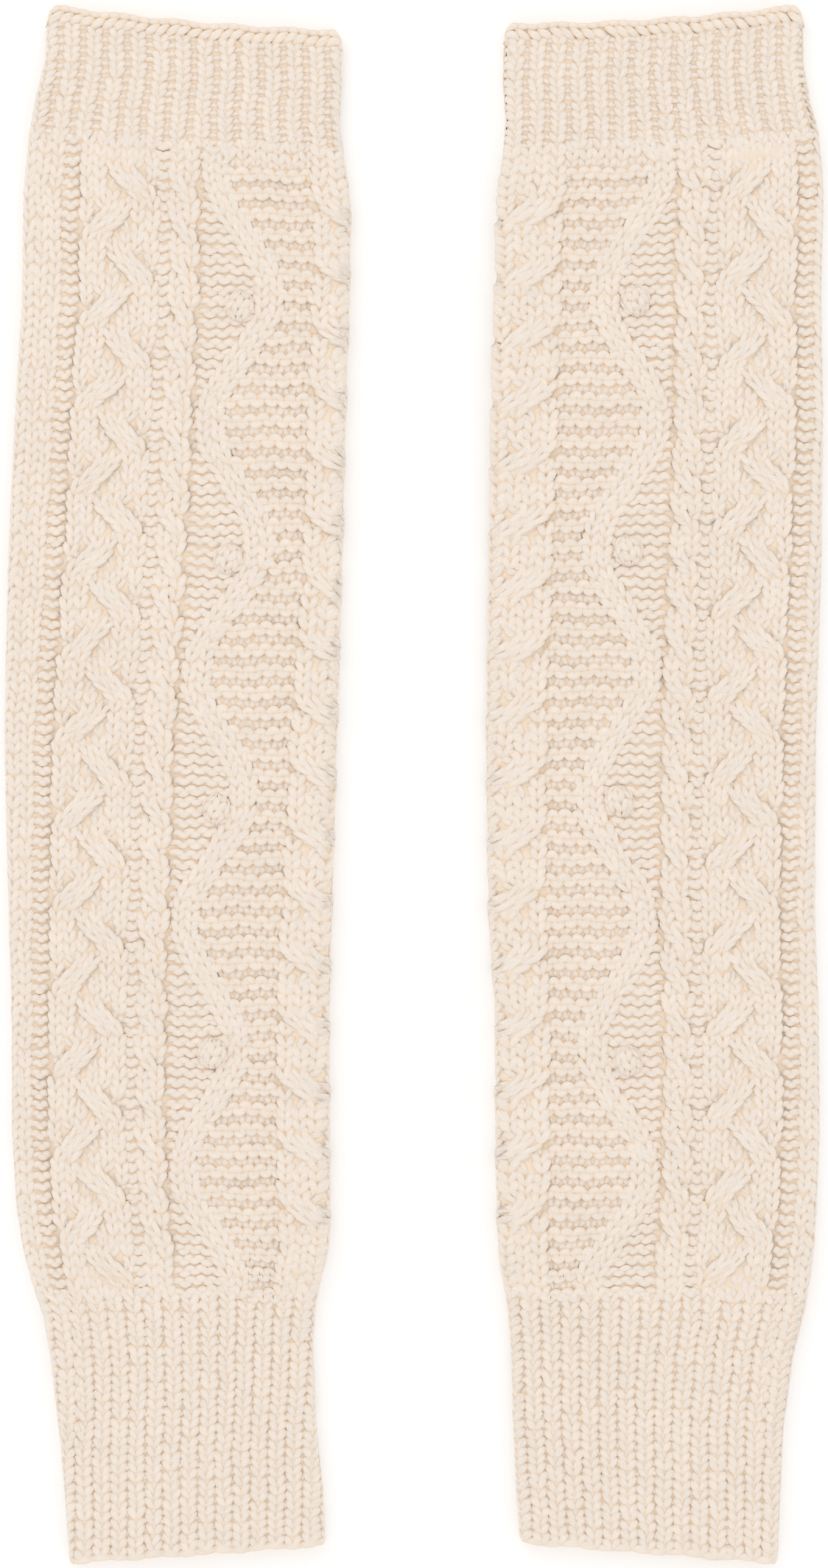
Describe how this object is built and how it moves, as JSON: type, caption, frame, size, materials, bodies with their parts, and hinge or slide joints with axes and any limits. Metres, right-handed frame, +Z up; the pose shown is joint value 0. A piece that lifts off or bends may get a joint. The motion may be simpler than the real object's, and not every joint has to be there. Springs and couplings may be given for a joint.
{
  "type": "pair of knitted arm warmers",
  "caption": "Long cable-knit wool sleeves without hands or feet that cover the arm from wrist to above the elbow, laid flat side by side.",
  "frame": {"origin": "midway between the two arm warmers, half way along them, on the surface they lie on", "axes": "+X from the left arm warmer to the right one as seen from above, +Y along the arm from the ribbed cuff to the bound-off top, +Z up from the surface"},
  "size_m": [0.2534, 0.4793, 0.0109],
  "materials": {
    "rim_wool": "matt cream wool, bound-off and cast-on edges",
    "rib_wool": "matt cream wool, one-by-one rib",
    "body_wool": "matt cream wool, cable knit with purl ground and garter ridges",
    "bobble_wool": "matt cream wool, knitted bobbles"
  },
  "bodies": {
    "root": {"left_top_rim": "rim_wool", "left_top_rib": "rib_wool", "left_body": "body_wool", "left_cuff_rib": "rib_wool", "left_cuff_rim": "rim_wool", "left_bobble_1": "bobble_wool", "left_bobble_2": "bobble_wool", "left_bobble_3": "bobble_wool", "left_bobble_4": "bobble_wool", "right_top_rim": "rim_wool", "right_top_rib": "rib_wool", "right_body": "body_wool", "right_cuff_rib": "rib_wool", "right_cuff_rim": "rim_wool", "right_bobble_1": "bobble_wool", "right_bobble_2": "bobble_wool", "right_bobble_3": "bobble_wool", "right_bobble_4": "bobble_wool"}
  },
  "joints": []
}
